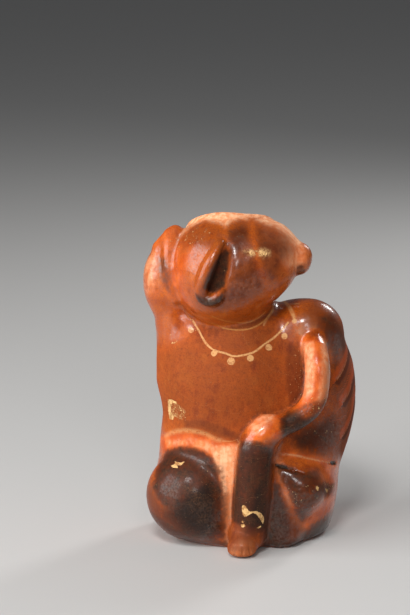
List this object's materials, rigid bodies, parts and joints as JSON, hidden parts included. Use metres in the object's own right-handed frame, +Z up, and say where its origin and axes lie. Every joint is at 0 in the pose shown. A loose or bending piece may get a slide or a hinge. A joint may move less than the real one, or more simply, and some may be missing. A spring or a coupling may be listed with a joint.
{
  "type": "anthropomorphic vase",
  "caption": "Hollow fired-clay vase shaped as a seated hunchback, head turned aside on a raised hand, the other hand on a raised knee, with an open mouth in the crown.",
  "frame": {"origin": "on the ground under the middle of the vase's bounding box", "axes": "+Z up, -Y the way the figure's chest faces, +X to the figure's left, the side its hump is on"},
  "size_m": [0.1548, 0.1366, 0.2394],
  "materials": {
    "burnished_clay": "burnished red-brown slip over fired clay, semi-gloss, with cream painted lines, dark painted and smoked areas, worn and flaked in places"
  },
  "bodies": {
    "root": {"vase": "burnished_clay"}
  },
  "joints": []
}
